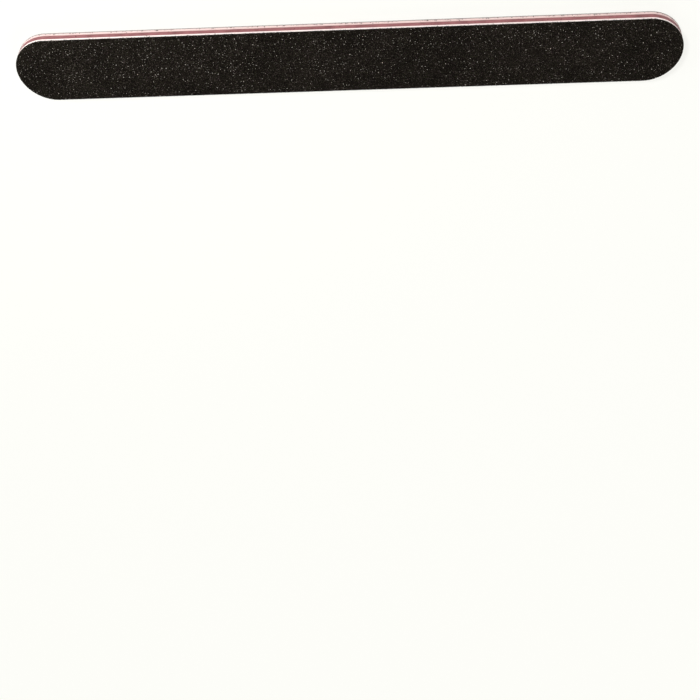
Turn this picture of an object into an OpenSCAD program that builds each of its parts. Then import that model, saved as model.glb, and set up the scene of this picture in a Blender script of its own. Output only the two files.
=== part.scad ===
// Cushioned emery board, coarse on its upper face and fine on its lower face.
// It is a laminate: a stiff plastic core, a soft foam pad taped to each side of it, and an
// abrasive sheet taped over each pad. Every abrasive sheet is a backing paper, a resin that
// bonds the grain, and the coat of grain itself. The whole stack is die cut in one stroke to
// a strip with half-round ends, which leaves the cut edge that the sections below describe.
// Sizes are in millimetres. +X runs along the board, +Y across it and +Z up through the layers.
// The origin is at the centre of the lower face.

/* [Outline] */
// Length over both half-round ends
board_l = 178; // [60:1:300]
// Width, which is also the diameter of the half-round ends
board_w = 19; // [12:0.5:40]

/* [Core and pads] */
// Thickness of the stiff plastic core
core_t = 1.5; // [0.6:0.1:3]
// Thickness of each foam pad
foam_t = 0.75; // [0.5:0.05:3]

/* [Adhesive films] */
// Thickness of the film between the core and a foam pad
core_tape_t = 0.05; // [0.03:0.01:0.15]
// Thickness of the film between a foam pad and its abrasive sheet
paper_tape_t = 0.05; // [0.03:0.01:0.15]

/* [Abrasive sheets] */
// Thickness of the backing paper
paper_t = 0.23; // [0.1:0.01:0.5]
// Thickness of the resin that bonds the grain to the paper
bond_t = 0.03; // [0.02:0.01:0.08]
// Thickness of the coarse coat of grain on the upper face
coarse_grit_t = 0.17; // [0.1:0.01:0.4]
// Thickness of the fine coat of grain on the lower face
fine_grit_t = 0.11; // [0.1:0.01:0.4]

/* [Die-cut edge] */
// Width of the rim that the die pressed down before it cut through
rim_w = 1.1; // [0.5:0.1:3]
// Drop of that rim on the upper face; the lower face lay on the cutting bed and stays flat
rim_drop = 0.14; // [0:0.01:0.3]
// Depth of the hollow that the foam springs back to at mid-thickness
foam_hollow = 0.16; // [0:0.01:0.4]
// Setback of the foam's own corners from the cut line
foam_setback = 0.04; // [0:0.01:0.2]
// Setback of the adhesive films from the cut line
tape_setback = 0.1; // [0:0.01:0.3]
// Setback of the paper and its bond from the core's cut edge
paper_setback = 0.02; // [0:0.01:0.2]
// Radius of the core's two cut corners
core_corner_r = 0.16; // [0.05:0.01:0.25]
// Radius of the worn lip round each coat of grain
grit_lip_r = 0.08; // [0.02:0.01:0.09]

/* [Hidden] */

rim_steps = 8;     // straight pieces that stand for the rolled rim's curve
hollow_steps = 8;  // straight pieces across the foam's hollow
corner_steps = 5;  // straight pieces round a small corner

half_w = board_w / 2;
straight_l = board_l - board_w;

// Heights of the layers' meeting faces above the core's mid-plane, alike on both sides
core_h = core_t / 2;
pad_lo = core_h + core_tape_t;
pad_hi = pad_lo + foam_t;
paper_lo = pad_hi + paper_tape_t;
paper_hi = paper_lo + paper_t;
grit_lo = paper_hi + bond_t;

// Height of the core's mid-plane above the face that the board rests on
mid_z = grit_lo + fine_grit_t;

// The rolled rim as pairs of [distance in from the cut line, share of the drop]
rim_curve = [for (i = [0:rim_steps]) [rim_w * i / rim_steps, pow(1 - i / rim_steps, 2)]];

// Drop of a face at a distance in from the cut line
function fall(drop, inset) = drop * lookup(inset, rim_curve);

// A layer's face in section, from the board's centreline out to its own edge
function face_line(height, drop, setback) = concat(
    [[0, height]],
    [for (i = [rim_steps:-1:0])
        if (rim_curve[i][0] > setback) [half_w - rim_curve[i][0], height - drop * rim_curve[i][1]]],
    [[half_w - setback, height - fall(drop, setback)]]
);

// A quarter turn round a corner, its centre inset and raised, from angle a to angle a + 90
function corner(inset, height, r, a) =
    [for (i = [0:corner_steps])
        let (turn = a + 90 * i / corner_steps)
        [half_w - inset + r * cos(turn), height + r * sin(turn)]];

function backwards(line) = [for (i = [len(line) - 1:-1:0]) line[i]];

// Sweeps half a section round the board's outline: one straight run and two half-round ends
module round_the_outline(section) {
    across = concat(section, [for (p = backwards(section)) if (p[0] > 0) [-p[0], p[1]]]);
    rotate([90, 0, 90])
        linear_extrude(straight_l, center = true)
            polygon(across);
    for (side = [-1, 1])
        translate([side * straight_l / 2, 0, 0])
            rotate(side * -90)
                rotate_extrude(angle = 180, $fn = 96)
                    polygon(section);
}

module on_upper_side() {
    translate([0, 0, mid_z])
        children();
}

module on_lower_side() {
    translate([0, 0, mid_z])
        mirror([0, 0, 1])
            children();
}

// A thin sheet cut straight down, such as paper, bond or adhesive film
module sheet_layer(lo, hi, setback, drop = 0) {
    round_the_outline(concat(face_line(lo, drop, setback), backwards(face_line(hi, drop, setback))));
}

// A foam pad: flat against the core, rolled down under its sheet if there is a drop, hollow at the cut
module foam_pad(drop = 0) {
    edge_lo = pad_lo;
    edge_hi = pad_hi - fall(drop, foam_setback);
    hollow = [for (i = [1:hollow_steps - 1])
        let (share = i / hollow_steps)
        [half_w - foam_setback - foam_hollow * sin(180 * share), edge_lo + (edge_hi - edge_lo) * share]];
    round_the_outline(concat(
        face_line(pad_lo, 0, foam_setback), hollow, backwards(face_line(pad_hi, drop, foam_setback))));
}

// A coat of grain on its bond, with its outer lip worn round
module grit_coat(grit_t, drop = 0) {
    lip_h = grit_lo + grit_t - fall(drop, grit_lip_r + paper_setback) - grit_lip_r;
    round_the_outline(concat(
        face_line(grit_lo, drop, paper_setback),
        corner(grit_lip_r + paper_setback, lip_h, grit_lip_r, 0),
        backwards(face_line(grit_lo + grit_t, drop, grit_lip_r + paper_setback))));
}

// The stiff core, cut clean, with a small round on each cut corner
module plastic_core() {
    inset = core_corner_r;
    round_the_outline(concat(
        [[0, -core_h]],
        corner(inset, inset - core_h, core_corner_r, -90),
        corner(inset, core_h - inset, core_corner_r, 0),
        [[0, core_h]]));
}

module upper_grit() {
    color("#211e1a") on_upper_side() grit_coat(coarse_grit_t, rim_drop);
}

module upper_bond() {
    color("#14110f") on_upper_side() sheet_layer(paper_hi, grit_lo, paper_setback, rim_drop);
}

module upper_paper() {
    color("#3a3632") on_upper_side() sheet_layer(paper_lo, paper_hi, paper_setback, rim_drop);
}

module upper_paper_tape() {
    color("#e6ddc8") on_upper_side() sheet_layer(pad_hi, paper_lo, tape_setback, rim_drop);
}

module upper_foam() {
    color("#f6efec") on_upper_side() foam_pad(rim_drop);
}

module upper_core_tape() {
    color("#e6ddc8") on_upper_side() sheet_layer(core_h, pad_lo, tape_setback);
}

module core() {
    color("#9e6467") translate([0, 0, mid_z]) plastic_core();
}

module lower_core_tape() {
    color("#e6ddc8") on_lower_side() sheet_layer(core_h, pad_lo, tape_setback);
}

module lower_foam() {
    color("#eed0ce") on_lower_side() foam_pad();
}

module lower_paper_tape() {
    color("#e6ddc8") on_lower_side() sheet_layer(pad_hi, paper_lo, tape_setback);
}

module lower_paper() {
    color("#968a86") on_lower_side() sheet_layer(paper_lo, paper_hi, paper_setback);
}

module lower_bond() {
    color("#14110f") on_lower_side() sheet_layer(paper_hi, grit_lo, paper_setback);
}

module lower_grit() {
    color("#211e1a") on_lower_side() grit_coat(fine_grit_t);
}

upper_grit();
upper_bond();
upper_paper();
upper_paper_tape();
upper_foam();
upper_core_tape();
core();
lower_core_tape();
lower_foam();
lower_paper_tape();
lower_paper();
lower_bond();
lower_grit();
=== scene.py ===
import math
import random

import bmesh
import bpy
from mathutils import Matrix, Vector


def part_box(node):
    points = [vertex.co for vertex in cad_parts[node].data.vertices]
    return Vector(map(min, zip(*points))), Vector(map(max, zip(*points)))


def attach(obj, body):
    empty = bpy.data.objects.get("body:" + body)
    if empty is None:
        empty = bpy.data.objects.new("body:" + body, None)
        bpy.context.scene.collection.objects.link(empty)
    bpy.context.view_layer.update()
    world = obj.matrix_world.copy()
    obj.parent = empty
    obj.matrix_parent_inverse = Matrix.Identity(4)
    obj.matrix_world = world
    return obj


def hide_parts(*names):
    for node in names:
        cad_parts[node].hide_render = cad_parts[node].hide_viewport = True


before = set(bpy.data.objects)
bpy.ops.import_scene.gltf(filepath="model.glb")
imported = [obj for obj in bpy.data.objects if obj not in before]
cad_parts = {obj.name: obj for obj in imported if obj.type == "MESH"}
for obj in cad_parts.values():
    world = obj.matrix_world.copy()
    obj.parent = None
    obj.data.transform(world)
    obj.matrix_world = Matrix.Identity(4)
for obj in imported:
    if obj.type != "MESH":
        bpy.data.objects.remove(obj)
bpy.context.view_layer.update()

mm = 0.001
touching = 1e-7   # metres; points closer than this are one point
coreLow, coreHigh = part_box("core")
halfWidth = (coreHigh.y - coreLow.y) / 2
endCentre = (coreHigh.x - coreLow.x) / 2 - halfWidth   # where each half-round end is struck from


class Wire:   # a node's output, which takes maths as a number does
    def __init__(self, graph, socket):
        self.graph = graph
        self.socket = socket

    def out(self, name):   # another output of the same node
        return Wire(self.graph, self.socket.node.outputs[name])

    def __add__(self, other):
        return self.graph.maths("ADD", self, other)

    def __sub__(self, other):
        return self.graph.maths("SUBTRACT", self, other)

    def __rsub__(self, other):
        return self.graph.maths("SUBTRACT", other, self)

    def __mul__(self, other):
        return self.graph.maths("MULTIPLY", self, other)

    def __truediv__(self, other):
        return self.graph.maths("DIVIDE", self, other)

    def __pow__(self, other):
        return self.graph.maths("POWER", self, other)

    def atLeast(self, other):
        return self.graph.maths("MAXIMUM", self, other)

    def atMost(self, other):
        return self.graph.maths("MINIMUM", self, other)

    __radd__ = __add__
    __rmul__ = __mul__


class Graph:   # one node tree, for a material or for a modifier
    def __init__(self, tree):
        self.tree = tree
        tree.nodes.clear()

    def add(self, kind, settings=None, sockets=None, output=0):
        node = self.tree.nodes.new(kind)
        for name, value in (settings or {}).items():
            if name == "stops":
                ramp = node.color_ramp
                while len(ramp.elements) < len(value):
                    ramp.elements.new(0.5)
                for element, (place, colour) in zip(ramp.elements, value):
                    element.position = place
                    element.color = colour
            else:
                setattr(node, name, value)
        for name, value in (sockets or {}).items():
            for item in value if isinstance(value, list) else [value]:
                if isinstance(item, Wire):
                    self.tree.links.new(item.socket, node.inputs[name])
                else:
                    node.inputs[name].default_value = item
        return Wire(self, node.outputs[output]) if len(node.outputs) else None

    def maths(self, operation, first, second=0.0):
        return self.add("ShaderNodeMath", {"operation": operation}, {0: first, 1: second})

    def vector(self, operation, first, second=(0, 0, 0), output=0):
        return self.add("ShaderNodeVectorMath", {"operation": operation}, {0: first, 1: second}, output)

    def scaled(self, vector, factor):
        return self.add("ShaderNodeVectorMath", {"operation": "SCALE"}, {0: vector, "Scale": factor})

    def axis(self, vector, name):
        return self.add("ShaderNodeSeparateXYZ", {}, {0: vector}, name)

    def chance(self, kind, low, high, seed):   # kind is FLOAT_VECTOR, FLOAT or INT
        turn = ("FLOAT_VECTOR", "FLOAT", "INT").index(kind)
        return self.add("FunctionNodeRandomValue", {"data_type": kind}, {
            2 * turn: low, 2 * turn + 1: high, "Seed": seed}, turn)

    def mix(self, share, first, second):
        return self.add("ShaderNodeMix", {"data_type": "RGBA"}, {0: share, 6: first, 7: second}, 2)

    def place(self, stretch=(1, 1, 1)):
        spot = self.add("ShaderNodeTexCoord", output="Object")
        return self.add("ShaderNodeMapping", {}, {"Vector": spot, "Scale": stretch})

    def noise(self, size, spot, detail=2.0, roughness=0.5):   # size of a lump, in metres
        return self.add("ShaderNodeTexNoise", {}, {
            "Vector": spot, "Scale": 1 / size, "Detail": detail, "Roughness": roughness})

    def cells(self, size, spot, feature="F1", output="Distance"):
        return self.add("ShaderNodeTexVoronoi", {"feature": feature}, {
            "Vector": spot, "Scale": 1 / size}, output)

    def ramp(self, value, stops):
        return self.add("ShaderNodeValToRGB", {"stops": stops}, {"Fac": value})

    def spread(self, value, low, high, newLow=0.0, newHigh=1.0):
        return self.add("ShaderNodeMapRange", {"clamp": True}, {
            "Value": value, "From Min": low, "From Max": high, "To Min": newLow, "To Max": newHigh})

    def bump(self, height, depth):   # depth in metres
        return self.add("ShaderNodeBump", {}, {"Height": height, "Distance": depth, "Strength": 1.0})

    def moveTo(self, mesh, place):
        return self.add("GeometryNodeSetPosition", {}, {"Geometry": mesh, "Position": place})


def nodesOf(block):   # the emptied node tree of a material or of the world
    block.use_nodes = True
    return Graph(block.node_tree)


def inMetres(place):   # from a place in millimetres
    return Vector([part * mm for part in place])


print("camera and light")

camera = {
    "place": (21.66, 182.79, 261.95),       # mm
    "turn": (-49.4706, 1.8356, -3.6542),    # degrees
    "lens": 59.36,
    "sensor": 36,
    "nearest": 10,                          # mm; nothing closer is drawn
}
light = {
    "white": (0.991, 0.991, 0.947, 1.0),    # the room and the floor as the camera sees them
    "sky": 0.35,                            # what the room gives from all sides
    "key": 2.2,
    "keyFrom": (-0.45, 0.62, 0.72),
    "keySize": 8,                           # degrees
    "fill": 0.8,
    "fillFrom": (0.30, -0.75, 0.55),
    "fillSize": 40,
    "window": 0.08,                         # watts, close to the left end
    "windowPlace": (-108, 60, 120),         # mm
    "windowAim": (-60, 0, 0),
    "windowSize": 50,
}
floorSheet = {
    "radius": 6,        # metres
    "corners": 128,
    "white": 0.985,     # its own paint, as a share of the room's white
    "shadow": 0.18,     # how much of its own shading the camera sees
}

lens = bpy.data.cameras.new("camera")
lens.lens = camera["lens"]
lens.sensor_width = camera["sensor"]
lens.clip_start = camera["nearest"] * mm
view = bpy.data.objects.new("camera", lens)
bpy.context.collection.objects.link(view)
view.location = inMetres(camera["place"])
view.rotation_euler = [math.radians(part) for part in camera["turn"]]
bpy.context.scene.camera = view
bpy.context.scene.view_settings.view_transform = "Standard"


def newLamp(name, kind, power, heading):
    lamp = bpy.data.lights.new(name, kind)
    lamp.energy = power
    holder = bpy.data.objects.new(name, lamp)
    bpy.context.collection.objects.link(holder)
    holder.rotation_euler = heading.to_track_quat("-Z", "Y").to_euler()
    return holder


for sunName in ("key", "fill"):
    sun = newLamp(sunName, "SUN", light[sunName], -Vector(light[sunName + "From"]))
    sun.data.angle = math.radians(light[sunName + "Size"])

windowPlace = inMetres(light["windowPlace"])
window = newLamp("window", "AREA", light["window"], inMetres(light["windowAim"]) - windowPlace)
window.location = windowPlace
window.data.shape = "DISK"
window.data.size = light["windowSize"] * mm
window.visible_camera = False


def seenDirectly(graph):   # 1 for what the camera or a gloss sees, 0 for what only lights the board
    path = graph.add("ShaderNodeLightPath", output="Is Camera Ray")
    return path.atLeast(path.out("Is Glossy Ray")).atLeast(path.out("Is Transmission Ray"))


room = bpy.data.worlds.new("room")
bpy.context.scene.world = room
graph = nodesOf(room)
dim = graph.add("ShaderNodeBackground", {}, {"Color": (1, 1, 1, 1), "Strength": light["sky"]})
bright = graph.add("ShaderNodeBackground", {}, {"Color": light["white"], "Strength": 1.0})
surround = graph.add("ShaderNodeMixShader", {}, {0: seenDirectly(graph), 1: dim, 2: bright})
graph.add("ShaderNodeOutputWorld", {}, {"Surface": surround})

bpy.ops.object.select_all(action="DESELECT")
bpy.ops.mesh.primitive_circle_add(
    vertices=floorSheet["corners"], radius=floorSheet["radius"], fill_type="NGON", location=(0, 0, 0))
floor = bpy.context.object
floor.name = "floor"
floorPaint = bpy.data.materials.new("palePaperFloor")
graph = nodesOf(floorPaint)
shown = seenDirectly(graph) * (1 - floorSheet["shadow"])
dull = tuple(part * floorSheet["white"] for part in light["white"][:3]) + (1.0,)
matt = graph.add("ShaderNodeBsdfDiffuse", {}, {"Color": dull})
glow = graph.add("ShaderNodeEmission", {}, {"Color": light["white"], "Strength": 1.0})
sheet = graph.add("ShaderNodeMixShader", {}, {0: shown, 1: matt, 2: glow})
graph.add("ShaderNodeOutputMaterial", {}, {"Surface": sheet})
floor.data.materials.append(floorPaint)


print("finishes")


def tone(red, green, blue):   # a colour from what a screen shows, 0 to 255
    parts = []
    for part in (red / 255, green / 255, blue / 255):
        parts.append(part / 12.92 if part <= 0.04045 else ((part + 0.055) / 1.055) ** 2.4)
    return (*parts, 1.0)


def newMaterial(name, values, paint):   # paint gives the colour, and the patterns of sheen and of height
    material = bpy.data.materials.new(name)
    graph = nodesOf(material)
    colour, sheen, height = paint(graph)
    shader = graph.add("ShaderNodeBsdfPrincipled", {}, {
        "Base Color": colour,
        "Roughness": graph.spread(sheen, 0.3, 0.7, *values["roughness"]),
        "Specular IOR Level": values["specular"],
        "Normal": graph.bump(height, values["depth"])})
    graph.add("ShaderNodeOutputMaterial", {}, {"Surface": shader})
    return material


# Grain colours: the grey and bright tones are painted glints, in part the grit's pale crystals; the
# grains' own gloss is kept low.
grain = {
    "black": tone(9, 7, 5),
    "smoke": tone(50, 44, 39),
    "olive": tone(70, 74, 52),
    "plum": tone(84, 60, 72),
    "grey": tone(124, 116, 108),
    "bright": tone(236, 231, 220),
    "shares": [   # the share of the grains at which each colour is reached
        (0.0, "black"), (0.35, "black"), (0.80, "smoke"), (0.92, "olive"),
        (0.955, "plum"), (0.978, "grey"), (0.986, "bright")],
    "chip": 0.05 * mm,
    "roughness": (0.16, 0.46),
    "specular": 0.02,
    "depth": 0.006 * mm,
}


def grainPaint(graph):
    pick = graph.add("ShaderNodeAttribute", {"attribute_name": "grainTone"}, output="Fac")
    # The grey and bright stops of this ramp are painted glints.
    colour = graph.ramp(pick, [(share, grain[name]) for share, name in grain["shares"]])
    chips = graph.noise(grain["chip"], graph.place())
    return colour, chips, chips


coat = {
    "resin": tone(8, 7, 5),
    "dust": tone(36, 32, 27),
    # Speck cells: the lightest of them, in smoke and grey, are painted glints on the grit's facets.
    "speck": 0.15 * mm,
    "patch": 9 * mm,           # where more or less dust is left
    "skin": 0.045 * mm,
    "roughness": (0.38, 0.72),
    "specular": 0.006,
    "depth": 0.02 * mm,
}


def coatPaint(graph):
    spot = graph.place()
    speck = graph.cells(coat["speck"], spot, output="Color")
    pick = graph.add("ShaderNodeSeparateColor", {}, {0: speck})
    # The smoke and grey stops are painted glints; the lower stops are the grit's own tones.
    colour = graph.ramp(pick, [
        (0.0, coat["resin"]), (0.20, coat["resin"]), (0.70, coat["dust"]),
        (0.965, grain["smoke"]), (0.99, grain["grey"])])
    patch = graph.noise(coat["patch"], spot, 3.0)
    skin = graph.noise(coat["skin"], spot, 3.0)
    # The resin's black covers the specks in patches where less dust is left, and in the skin's hollows, so
    # the painted glints show on its raised points.
    resinShare = graph.spread(patch, 0.35, 0.65, 0.0, 0.4) + graph.spread(skin, 0.35, 0.6, 0.5, 0.0)
    return graph.mix(resinShare, colour, coat["resin"]), skin, skin


foam = {
    "white": tone(252, 240, 236),
    "deep": tone(240, 216, 212),
    "blush": tone(238, 213, 210),
    "deepBlush": tone(224, 192, 191),
    "cell": 0.11 * mm,
    "drift": 4 * mm,           # patches of the deeper tint
    "roughness": (0.82, 0.95),
    "specular": 0.2,
    "depth": 0.03 * mm,
}


def foamPaint(white, deep):
    def paint(graph):
        spot = graph.place()
        wall = graph.spread(graph.cells(foam["cell"], spot, "DISTANCE_TO_EDGE"), 0.0, 0.3)
        drift = graph.noise(foam["drift"], spot)
        colour = graph.mix(graph.spread(drift, 0.35, 0.75, 0.0, 0.35), white, deep)
        # Cell interiors, which the bump sinks into pits, lean towards the deeper tint: painted shade in
        # the pores, over the foam's own patchy tint.
        return graph.mix(wall * 0.55, white, colour), drift, 1 - wall
    return paint


plastic = {
    "rose": tone(149, 91, 94),
    "pale": tone(182, 130, 132),
    "deep": tone(114, 61, 64),
    "scrape": 0.09 * mm,
    "drift": 3.5 * mm,
    "roughness": (0.42, 0.62),
    "specular": 0.4,
    "depth": 0.012 * mm,
}


def plasticPaint(graph):
    scrape = graph.noise(plastic["scrape"], graph.place((1, 1, 0.15)), 3.0, 0.65)
    drift = graph.noise(plastic["drift"], graph.place(), 3.0, 0.6)
    colour = graph.mix(graph.spread(drift, 0.4, 0.72), plastic["rose"], plastic["deep"])
    stress = graph.spread(scrape, 0.55, 0.75, 0.0, 0.55)
    return graph.mix(stress, colour, plastic["pale"]), scrape, scrape


paper = {
    "black": tone(26, 23, 20),
    "fibre": tone(50, 46, 42),
    "grey": tone(156, 144, 140),
    "greyFibre": tone(194, 183, 178),
    "strand": 0.12 * mm,
    "roughness": (0.75, 0.95),
    "specular": 0.2,
    "depth": 0.02 * mm,
}


def paperPaint(base, fibre):
    def paint(graph):
        strand = graph.noise(paper["strand"], graph.place((1, 1, 5)), 4.0, 0.7)
        return graph.mix(graph.spread(strand, 0.45, 0.7), base, fibre), strand, strand
    return paint


bond = {
    "bead": 0.08 * mm,
    "roughness": (0.3, 0.55),
    "specular": 0.3,
    "depth": 0.01 * mm,
}


def bondPaint(graph):
    bead = graph.noise(bond["bead"], graph.place(), 3.0)
    return graph.mix(graph.spread(bead, 0.4, 0.8), coat["resin"], coat["dust"]), bead, bead


film = {
    "clear": tone(226, 214, 190),
    "dust": tone(178, 164, 148),
    "lint": 0.3 * mm,
    "roughness": (0.25, 0.6),
    "specular": 0.4,
    "depth": 0.01 * mm,
}


def filmPaint(graph):
    lint = graph.noise(film["lint"], graph.place(), 4.0, 0.6)
    return graph.mix(graph.spread(lint, 0.45, 0.7), film["clear"], film["dust"]), lint, lint


grainMaterial = newMaterial("blackGrain", grain, grainPaint)
coatMaterial = newMaterial("resinAndGrain", coat, coatPaint)
foamMaterial = newMaterial("softWhiteFoam", foam, foamPaint(foam["white"], foam["deep"]))
blushMaterial = newMaterial("softBlushFoam", foam, foamPaint(foam["blush"], foam["deepBlush"]))
plasticMaterial = newMaterial("rosePlastic", plastic, plasticPaint)
blackPaperMaterial = newMaterial("blackBackingPaper", paper, paperPaint(paper["black"], paper["fibre"]))
greyPaperMaterial = newMaterial("greyBackingPaper", paper, paperPaint(paper["grey"], paper["greyFibre"]))
bondMaterial = newMaterial("blackBond", bond, bondPaint)
filmMaterial = newMaterial("adhesiveFilm", film, filmPaint)


def makeActive(piece):
    bpy.ops.object.select_all(action="DESELECT")
    piece.select_set(True)
    bpy.context.view_layer.objects.active = piece


def nameBoth(piece, name):   # the object and its mesh
    piece.name = name
    piece.data.name = name


def copyOf(piece, name):
    makeActive(piece)
    bpy.ops.object.duplicate()
    nameBoth(bpy.context.object, name)
    return bpy.context.object


def mark(piece, kind, test):   # in edit mode: selects what passes the test and nothing else
    bpy.ops.mesh.select_mode(type=kind)
    bpy.ops.mesh.select_all(action="DESELECT")
    shape = bmesh.from_edit_mesh(piece.data)
    for item in {"VERT": shape.verts, "EDGE": shape.edges, "FACE": shape.faces}[kind]:
        if test(item):
            item.select_set(True)
    bmesh.update_edit_mesh(piece.data)


def cutOutline(name, setback, step):   # one face in the board's outline, at height 0, in edit mode
    radius = halfWidth - setback
    around = 4 * round(math.pi * radius / step / 2)
    runs = 20   # each long side is divided twice, because subdivide makes at most 100 cuts
    bpy.ops.object.select_all(action="DESELECT")
    bpy.ops.mesh.primitive_circle_add(vertices=around, radius=radius, fill_type="NGON")
    piece = bpy.context.object
    nameBoth(piece, name)
    bpy.ops.object.mode_set(mode="EDIT")
    bpy.ops.mesh.select_all(action="SELECT")
    bpy.ops.mesh.bisect(plane_co=(0, 0, 0), plane_no=(1, 0, 0), threshold=touching)
    bpy.ops.mesh.edge_split(type="EDGE")
    for side in (-1, 1):
        mark(piece, "FACE", lambda face: face.calc_center_median().x * side > 0)
        bpy.ops.transform.translate(value=(side * endCentre, 0, 0))
    mark(piece, "EDGE", lambda edge: edge.calc_length() > 1.5 * radius)
    bpy.ops.mesh.bridge_edge_loops()
    mark(piece, "EDGE", lambda edge: edge.calc_length() > 1.5 * endCentre)
    bpy.ops.mesh.subdivide(number_cuts=runs - 1)
    mark(piece, "EDGE", lambda edge: (
        edge.calc_length() > 2 * step and abs(edge.verts[0].co.y - edge.verts[1].co.y) < step))
    bpy.ops.mesh.subdivide(number_cuts=round(2 * endCentre / step / runs) - 1)
    bpy.ops.mesh.select_mode(type="FACE")
    bpy.ops.mesh.select_all(action="SELECT")
    bpy.ops.mesh.dissolve_faces()
    return piece


def pullUp(heights):   # pulls the selected face up through these heights
    below = 0.0
    for height in heights:
        bpy.ops.mesh.extrude_region_move(TRANSFORM_OT_translate={"value": (0, 0, height - below)})
        below = height


def shapeWith(piece, title, build):   # a geometry nodes modifier, applied
    tree = bpy.data.node_groups.new(title, "GeometryNodeTree")
    tree.interface.new_socket("Geometry", in_out="INPUT", socket_type="NodeSocketGeometry")
    tree.interface.new_socket("Geometry", in_out="OUTPUT", socket_type="NodeSocketGeometry")
    graph = Graph(tree)
    graph.add("NodeGroupOutput", {}, {0: build(graph, graph.add("NodeGroupInput"))})
    modifier = piece.modifiers.new(title, "NODES")
    modifier.node_group = tree
    makeActive(piece)
    bpy.ops.object.modifier_apply(modifier=modifier.name)


def setDown(piece, height, up):   # turns a piece over for the lower side and puts it at its height
    makeActive(piece)
    bpy.ops.object.mode_set(mode="EDIT")
    bpy.ops.mesh.select_all(action="SELECT")
    if not up:
        bpy.ops.transform.rotate(value=math.pi, orient_axis="X", center_override=(0, 0, 0))
    bpy.ops.transform.translate(value=(0, 0, height))
    bpy.ops.object.mode_set(mode="OBJECT")


def dress(piece, material, slot, *nodes):
    piece.data.materials.clear()
    piece.data.materials.append(material)
    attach(piece, "root")
    if nodes:
        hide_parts(*nodes)


rim = {
    "drop": 0.14 * mm,
    "width": 1.1 * mm,
    "rings": (0.24 * mm, 0.6 * mm, 1.1 * mm),   # where the flat faces are divided, in from the cut line
}


class Edge:   # where a point is against the cut line: how far in, which way is out, and how high
    def __init__(self, graph):
        self.graph = graph
        self.spot = graph.add("GeometryNodeInputPosition")
        self.height = graph.axis(self.spot, "Z")
        along = graph.add("ShaderNodeClamp", {}, {
            "Value": self.height.out("X"), "Min": -endCentre, "Max": endCentre})
        self.spine = graph.add("ShaderNodeCombineXYZ", {}, {"X": along, "Z": self.height})
        away = graph.vector("SUBTRACT", self.spot, self.spine)
        self.radius = graph.vector("LENGTH", away, output="Value")
        self.outward = graph.vector("NORMALIZE", away)
        self.inset = halfWidth - self.radius

    def moved(self, radius, height):   # the same point at another radius and height
        place = self.graph.vector("ADD", self.spine, self.graph.scaled(self.outward, radius))
        lift = self.graph.add("ShaderNodeCombineXYZ", {}, {"Z": height - self.height})
        return self.graph.vector("ADD", place, lift)

    def fall(self, drop):   # of the rim that the die pressed down
        share = (1 - self.inset / rim["width"]).atLeast(0)
        return share * share * drop


def insetRings(ring):   # from the distance at which the selected face ends
    for place in rim["rings"]:
        bpy.ops.mesh.inset(thickness=place - ring, use_boundary=True)
        ring = place


print("foam pads")

foamCut = {
    "step": 0.1 * mm,          # mesh along the cut edge
    "levels": 9,
    "setback": 0.04 * mm,
    "hollow": 0.15 * mm,
    "even": 0.75,              # share of the hollow that the foam springs back by; its pores do the rest
    "lump": 0.9 * mm,
    "pore": 0.05 * mm,
    "slack": 0.01 * mm,        # how far from the cut wall a point still counts as on it
}


def foamPad(name, node, drop, up, material, slot):
    low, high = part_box(node)
    thick = high.z - low.z
    piece = cutOutline(name, foamCut["setback"], foamCut["step"])
    pullUp([thick * level / foamCut["levels"] for level in range(1, foamCut["levels"] + 1)])
    insetRings(foamCut["setback"])
    bpy.ops.object.mode_set(mode="OBJECT")

    def cut(graph, mesh):
        edge = Edge(graph)
        share = edge.height / thick
        belly = graph.maths("SINE", share * math.pi)
        atWall = graph.add("FunctionNodeCompare", {"operation": "LESS_THAN"}, {
            "A": edge.inset, "B": foamCut["setback"] + foamCut["slack"]})
        spot = graph.vector("ADD", edge.spot, (0, 0, low.z))
        bubble = graph.cells(foam["cell"], spot)
        lump = graph.noise(foamCut["lump"], spot)
        pore = graph.spread(bubble, 0.15, 0.6, 1.0, 0.0) * belly.atMost(0.6) * foamCut["pore"]
        sink = belly * (0.8 + lump * 0.4) * foamCut["hollow"] * foamCut["even"] + pore
        height = edge.height - share * edge.fall(drop)
        place = graph.add("GeometryNodeSwitch", {"input_type": "VECTOR"}, {
            0: atWall, 1: edge.moved(edge.radius, height), 2: edge.moved(edge.radius - sink, height)})
        return graph.moveTo(mesh, place)

    shapeWith(piece, name + "Cut", cut)
    setDown(piece, low.z if up else high.z, up)
    dress(piece, material, slot, node)
    return piece


upperPad = foamPad("upperFoamPad", "upper_foam", rim["drop"], True, foamMaterial, "white_foam")
lowerPad = foamPad("lowerFoamPad", "lower_foam", 0.0, False, blushMaterial, "blush_foam")


print("core")

coreCut = {
    "step": 0.2 * mm,
    "corner": 0.16 * mm,
    "cornerSteps": 4,
    "wallSteps": 6,
    "scrape": 0.35 * mm,
    "scrapeDepth": 0.014 * mm,
    "nick": 1.6 * mm,
    "nickDepth": 0.05 * mm,
    "crease": 35,              # degrees; flatter edges are smoothed
}


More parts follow.
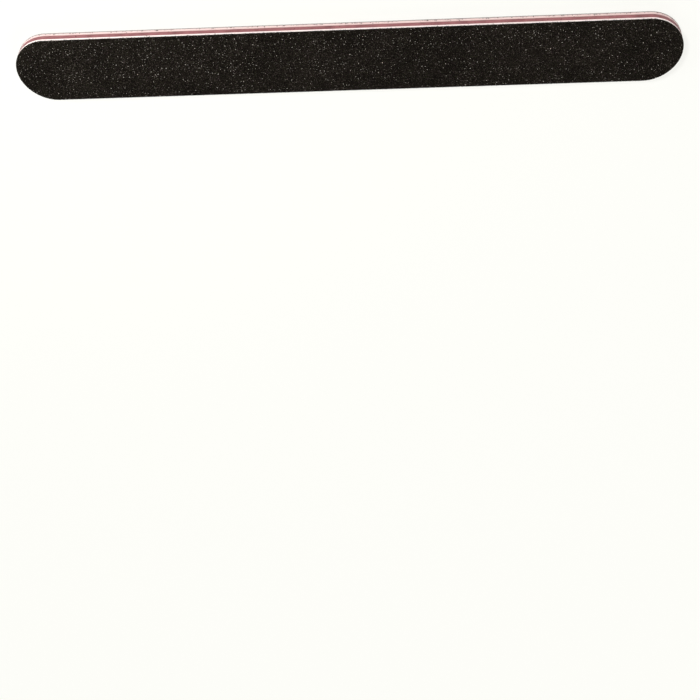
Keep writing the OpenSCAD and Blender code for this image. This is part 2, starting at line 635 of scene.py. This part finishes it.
def corePlate():
    thick = coreHigh.z - coreLow.z
    corner = coreCut["corner"]
    piece = cutOutline("roseCore", 0, coreCut["step"])
    turns = [math.pi / 2 * step / coreCut["cornerSteps"] for step in range(1, coreCut["cornerSteps"] + 1)]
    heights = [corner * (1 - math.cos(turn)) for turn in turns]
    heights += [corner + (thick - 2 * corner) * step / coreCut["wallSteps"]
                for step in range(1, coreCut["wallSteps"] + 1)]
    heights += [thick - corner * (1 - math.cos(turn)) for turn in reversed(turns[:-1])]
    pullUp(heights + [thick])
    bpy.ops.object.mode_set(mode="OBJECT")

    def cut(graph, mesh):
        edge = Edge(graph)
        away = corner - edge.height.atMost(thick - edge.height).atMost(corner)
        reach = (corner * corner - away * away).atLeast(0) ** 0.5
        spot = graph.vector("MULTIPLY", edge.spot, (1, 1, 0.2))
        scrapes = graph.noise(coreCut["scrape"], spot, 3.0, 0.6)
        nicks = graph.spread(graph.noise(coreCut["nick"], edge.spot, 4.0, 0.7), 0.62, 0.8)
        sink = scrapes * coreCut["scrapeDepth"] + nicks * (1 - reach / corner) * coreCut["nickDepth"]
        return graph.moveTo(mesh, edge.moved(edge.radius - (corner - reach) - sink, edge.height))

    shapeWith(piece, "coreCut", cut)
    setDown(piece, coreLow.z, True)
    dress(piece, plasticMaterial, "rose_core", "core")
    makeActive(piece)
    bpy.ops.object.shade_smooth_by_angle(angle=math.radians(coreCut["crease"]))
    return piece


core = corePlate()


print("abrasive coats")

coarse = {
    "thick": 0.17 * mm,
    "step": 0.215 * mm,        # mesh of the coat's skin
    "relief": 0.05 * mm,       # how far its grains stand above and below one another
    "sink": 0.05 * mm,         # how far the skin lies under the tops of the proud grains
    "seed": 4,
    "lots": 4,
    "proud": {                 # the black and dark coloured grains, in each lot
        "grains": 27000,
        "size": 0.1 * mm,      # half the length of a grain
        "tones": (0.0, 0.974),
    },
    # the palest grains: their grey and bright tones are painted glints, in part pale crystals
    "pale": {
        "grains": 2700,        # at most; the distance between them leaves fewer
        "size": 0.12 * mm,
        "tones": (0.976, 1.0),
        "apart": 0.6 * mm,     # least distance between two
    },
}
fine = {
    "thick": 0.11 * mm,
    "step": 0.215 * mm,
    "relief": 0.03 * mm,
    "sink": 0.03 * mm,
    "seed": 9,
    "lots": 2,
    "proud": {
        "grains": 27000,
        "size": 0.052 * mm,
        "tones": (0.0, 0.974),
    },
    # the palest grains: their grey and bright tones are painted glints, in part pale crystals
    "pale": {
        "grains": 2700,
        "size": 0.06 * mm,
        "tones": (0.976, 1.0),
        "apart": 0.6 * mm,
    },
}
lip = {
    "setback": 0.02 * mm,
    "radius": 0.07 * mm,
    "steps": 3,
    "bridge": 0.14 * mm,       # from the grid to the lip
    "chip": 0.09 * mm,         # how deep its edge is torn
    "chipSize": 0.3 * mm,
}
skinMesh = {
    "endCuts": 48,             # straight pieces round each half-round end
    "shift": 0.32,             # how far a corner of the grid is moved, as a share of its step
    "wave": 1.4 * mm,
    "facing": 0.3,             # grains lie on what faces up by at least this much
}


def skinGrid(inner, step, height):   # a fine grid in the board's outline, so that each face can be a grain
    reach = endCentre + inner
    bpy.ops.object.select_all(action="DESELECT")
    bpy.ops.mesh.primitive_grid_add(
        x_subdivisions=round(reach / step), y_subdivisions=round(2 * inner / step),
        size=1, location=(reach / 2, 0, height))
    piece = bpy.context.object
    piece.scale = (reach, 2 * inner, 1)
    bpy.ops.object.transform_apply(location=True, rotation=True, scale=True)
    bpy.ops.object.mode_set(mode="EDIT")
    cuts = skinMesh["endCuts"]
    radius = inner * math.cos(math.pi / cuts / 2)
    for cut in range(cuts):
        turn = math.pi * ((cut + 0.5) / cuts - 0.5)
        outward = (math.cos(turn), math.sin(turn), 0)
        mark(piece, "FACE", lambda face: face.calc_center_median().x > endCentre - step)
        bpy.ops.mesh.bisect(
            plane_co=(endCentre + radius * outward[0], radius * outward[1], height), plane_no=outward,
            clear_outer=True, threshold=touching)
    mark(piece, "VERT", lambda corner: corner.is_boundary)
    bpy.ops.mesh.remove_doubles(threshold=step / 4)
    bpy.ops.object.mode_set(mode="OBJECT")
    twin = piece.modifiers.new("otherHalf", "MIRROR")
    twin.merge_threshold = 10 * touching
    bpy.ops.object.modifier_apply(modifier=twin.name)
    return piece


def coatSkin(name, values, drop):
    top = values["thick"] - values["sink"]
    inner = halfWidth - lip["setback"] - lip["radius"] - lip["bridge"]
    quarter = math.pi / 2 * lip["radius"]
    piece = skinGrid(inner, values["step"], top)
    nameBoth(piece, name)
    bpy.ops.object.mode_set(mode="EDIT")
    mark(piece, "EDGE", lambda edge: edge.is_boundary)
    lengths = [lip["bridge"] / 2] * 2
    lengths += [quarter / lip["steps"]] * lip["steps"]
    lengths += [(top - lip["radius"]) / 2] * 2
    for length in lengths:
        bpy.ops.mesh.extrude_edges_move(TRANSFORM_OT_translate={"value": (0, 0, -length)})
    bpy.ops.mesh.edge_face_add()
    insetRings(0.0)
    bpy.ops.mesh.select_all(action="SELECT")
    bpy.ops.mesh.normals_make_consistent(inside=False)
    bpy.ops.object.mode_set(mode="OBJECT")

    def fold(graph, mesh):   # the skirt that hangs straight down becomes the lip and the wall
        edge = Edge(graph)
        hung = (top - edge.height).atLeast(0)
        turn = ((hung - lip["bridge"]) / lip["radius"]).atLeast(0).atMost(math.pi / 2)
        out = hung.atMost(lip["bridge"]) + graph.maths("SINE", turn) * lip["radius"]
        down = (hung - lip["bridge"] - quarter).atLeast(0)
        down = down + (1 - graph.maths("COSINE", turn)) * lip["radius"]
        return graph.moveTo(mesh, edge.moved(edge.radius + out, top - down))

    shapeWith(piece, name + "Fold", fold)

    def relief(graph, mesh):
        edge = Edge(graph)
        onTop = graph.spread(edge.height, top * 0.35, top)
        inside = graph.spread(edge.inset, halfWidth - inner, halfWidth - inner + values["step"])
        throw = values["step"] * skinMesh["shift"]
        jump = graph.chance("FLOAT_VECTOR", (-throw, -throw, 0), (throw, throw, 0), values["seed"])
        rise = graph.chance("FLOAT", -values["relief"], values["relief"], values["seed"] + 1)
        wave = (graph.noise(skinMesh["wave"], edge.spot) - 0.5) * values["relief"]
        calm = graph.spread(edge.inset, lip["setback"], lip["radius"] + lip["bridge"], 0.35, 1.0)
        lift = (rise + wave).atMost(values["sink"]).atLeast(-top * 0.7) * onTop * calm
        chips = graph.spread(graph.noise(lip["chipSize"], edge.spot, 2.0, 0.6), 0.5, 0.75) * onTop
        chips = chips * graph.spread(edge.inset, lip["bridge"], 2 * lip["bridge"], lip["chip"], 0.0)
        place = edge.moved(edge.radius - chips, edge.height + lift - edge.fall(drop))
        return graph.moveTo(mesh, graph.vector("ADD", place, graph.scaled(jump, inside)))

    shapeWith(piece, name + "Relief", relief)
    makeActive(piece)
    bpy.ops.object.mode_set(mode="EDIT")
    bpy.ops.mesh.select_all(action="SELECT")
    bpy.ops.mesh.quads_convert_to_tris(quad_method="SHORTEST_DIAGONAL")
    bpy.ops.object.mode_set(mode="OBJECT")
    return piece


shard = {
    "kinds": [(3, 0.6), (3, 0.0), (4, 0.0), (5, 0.0), (3, 0.35)],   # sides, and width of the tip
    "height": (1.1, 1.7),
    "squeeze": (0.65, 0.95),
    "dent": 0.22,
    "girth": (0.5, 1.2),       # least and most of a grain's own size, along each of its axes
    "turn": 6.28,              # radians
    "nearness": 0.002 * mm,    # faces within this count as level when they are put in order
}


def grainShapes(seed):   # the grains are modelled once, as broken blocks and shards one unit across
    shapes = []
    draw = random.Random(seed)
    for number, (sides, tip) in enumerate(shard["kinds"]):
        bpy.ops.object.select_all(action="DESELECT")
        bpy.ops.mesh.primitive_cone_add(
            vertices=sides, radius1=1, radius2=tip, depth=draw.uniform(*shard["height"]))
        piece = bpy.context.object
        bpy.ops.object.mode_set(mode="EDIT")
        bpy.ops.mesh.select_all(action="SELECT")
        bpy.ops.transform.resize(value=(1, draw.uniform(*shard["squeeze"]), 1))
        bpy.ops.transform.vertex_random(offset=shard["dent"], uniform=1.0, seed=number)
        bpy.ops.mesh.quads_convert_to_tris()
        bpy.ops.object.mode_set(mode="OBJECT")
        shapes.append(piece)
    return shapes


def inOrder(graph, mesh):   # numbers the faces by their place, so that grains always fall alike on them
    spot = graph.axis(graph.add("GeometryNodeInputPosition"), "Z")
    for name in ("Z", "Y", "X"):
        key = graph.maths("ROUND", spot.out(name) / shard["nearness"])
        mesh = graph.add("GeometryNodeSortElements", {"domain": "FACE"}, {
            "Geometry": mesh, "Sort Weight": key})
    return mesh


def strew(graph, mesh, shapes, chosen, kind, density, seed):   # grains of one kind over the chosen faces
    if "apart" in kind:
        method = "POISSON"
        amount = {"Density Max": density, "Distance Min": kind["apart"]}
    else:
        method = "RANDOM"
        amount = {"Density": density}
    points = graph.add("GeometryNodeDistributePointsOnFaces", {"distribute_method": method}, {
        "Mesh": inOrder(graph, mesh), "Selection": chosen, "Seed": seed, **amount})
    stones = [graph.add("GeometryNodeObjectInfo", {}, {"Object": shape, "As Instance": True}, "Geometry")
              for shape in shapes]
    heap = graph.add("GeometryNodeJoinGeometry", {}, {0: stones})
    turn = graph.chance("FLOAT_VECTOR", (0, 0, 0), (shard["turn"],) * 3, seed + 1)
    girth = graph.chance("FLOAT_VECTOR", (shard["girth"][0],) * 3, (shard["girth"][1],) * 3, seed + 2)
    which = graph.chance("INT", 0, len(shapes) - 1, seed + 3)
    grains = graph.add("GeometryNodeInstanceOnPoints", {}, {
        "Points": points, "Instance": heap, "Pick Instance": True, "Instance Index": which,
        "Rotation": turn, "Scale": graph.scaled(girth, kind["size"])})
    shade = graph.chance("FLOAT", *kind["tones"], seed + 4)
    grains = graph.add("GeometryNodeStoreNamedAttribute", {"data_type": "FLOAT", "domain": "INSTANCE"}, {
        "Geometry": grains, "Name": "grainTone", "Value": shade})
    return graph.add("GeometryNodeRealizeInstances", {}, {"Geometry": grains})


def sow(skin, name, shapes, kind, values, drop, seed):   # one lot of grains over a copy of the skin
    piece = copyOf(skin, name)
    area = math.pi * halfWidth ** 2 + 4 * endCentre * halfWidth

    def scatter(graph, mesh):
        normal = graph.axis(graph.add("GeometryNodeInputNormal"), "Z")
        chosen = graph.maths("GREATER_THAN", normal, skinMesh["facing"])
        solid = strew(graph, mesh, shapes, chosen, kind, kind["grains"] / area, seed)
        edge = Edge(graph)
        ceiling = values["thick"] - edge.fall(drop)
        height = edge.height.atMost(ceiling).atLeast(ceiling - values["thick"])
        return graph.moveTo(solid, edge.moved(edge.radius.atMost(halfWidth - lip["setback"]), height))

    shapeWith(piece, name + "Sown", scatter)
    return piece


def abrasiveCoat(name, node, values, drop, up):
    low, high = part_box(node)
    ground = high.z - values["thick"] if up else low.z + values["thick"]
    skin = coatSkin(name + "Skin", values, drop)
    shapes = grainShapes(values["seed"])
    kinds = [(f"Grains{lot + 1}", values["proud"]) for lot in range(values["lots"])]
    # a lot of the palest grains, painted glints in part
    kinds.append(("PaleGrains", values["pale"]))
    lots = []
    for number, (title, kind) in enumerate(kinds):
        seed = values["seed"] * 100 + number * 10
        lots.append(sow(skin, name + title, shapes, kind, values, drop, seed))
    for shape in shapes:
        bpy.data.objects.remove(shape)
    for piece in lots:
        setDown(piece, ground, up)
        dress(piece, grainMaterial, "black_grain")
    setDown(skin, ground, up)
    dress(skin, coatMaterial, "black_grain", node)


abrasiveCoat("upperCoat", "upper_grit", coarse, rim["drop"], True)
abrasiveCoat("lowerCoat", "lower_grit", fine, 0.0, False)


print("grit on the cut edge")

crumbs = {
    "small": 0.12 * mm,
    "large": 0.21 * mm,
    "underCoat": (26, 4.5),    # small and large ones on a square millimetre, just under the black paper
    "onGreyPaper": (6, 11),    # the same, just above the grey paper
    "onPads": 0.12,            # large ones over the rest of the foam
    "onCore": 0.25,
    "reach": 0.16 * mm,        # how far from a paper the crumbs thin out
    "clump": 2.4 * mm,
    "tones": (0.0, 1.0),
    "facing": 0.6,             # crumbs lie on what faces up or down by less than this
    "seed": 31,
}


def edgeGrit():
    shapes = grainShapes(crumbs["seed"])
    under = crumbs["underCoat"]
    above = crumbs["onGreyPaper"]
    pads = crumbs["onPads"]
    lots = [   # a layer, the size, and how many at its top, in between and at its foot
        (upperPad, crumbs["small"], under[0], 0.0, 0.0),
        (upperPad, crumbs["large"], under[1], pads, pads),
        (core, crumbs["large"], crumbs["onCore"], crumbs["onCore"], crumbs["onCore"]),
        (lowerPad, crumbs["large"], pads, pads, above[1]),
        (lowerPad, crumbs["small"], 0.0, 0.0, above[0]),
    ]
    reach = crumbs["reach"]
    brink = halfWidth - foamCut["setback"] - foamCut["slack"]
    sown = []
    for number, (layer, size, atTop, between, atFoot) in enumerate(lots):
        piece = copyOf(layer, f"edgeGrit{number}")
        heights = [corner.co.z for corner in layer.data.vertices if abs(corner.co.y) > brink]
        foot = min(heights)
        top = max(heights)
        kind = {"size": size, "tones": crumbs["tones"]}

        def scatter(graph, mesh):
            normal = graph.axis(graph.add("GeometryNodeInputNormal"), "Z")
            chosen = graph.maths("LESS_THAN", graph.maths("ABSOLUTE", normal), crumbs["facing"])
            edge = Edge(graph)
            upper = graph.spread(edge.height, top - reach, top - reach / 3, between, atTop)
            lower = graph.spread(edge.height, foot, foot + reach, atFoot, between)
            clump = graph.spread(graph.noise(crumbs["clump"], edge.spot), 0.38, 0.62, 0.3, 1.7)
            density = upper.atLeast(lower) * clump / mm ** 2
            solid = strew(graph, mesh, shapes, chosen, kind, density, crumbs["seed"] + number * 10)
            return graph.moveTo(solid, edge.moved(edge.radius.atMost(halfWidth), edge.height))

        shapeWith(piece, f"crumbs{number}", scatter)
        sown.append(piece)
    makeActive(sown[0])
    for piece in sown[1:]:
        piece.select_set(True)
    bpy.ops.object.join()
    nameBoth(sown[0], "edgeGrit")
    dress(sown[0], grainMaterial, "black_grain")
    for shape in shapes:
        bpy.data.objects.remove(shape)


edgeGrit()


print("carried-over layers")

layers = {
    "upper_bond": bondMaterial,
    "lower_bond": bondMaterial,
    "upper_paper": blackPaperMaterial,
    "lower_paper": greyPaperMaterial,
    "upper_core_tape": filmMaterial,
    "lower_core_tape": filmMaterial,
    "upper_paper_tape": filmMaterial,
    "lower_paper_tape": filmMaterial,
}
for node, material in layers.items():
    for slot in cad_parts[node].material_slots:
        slot.material = material
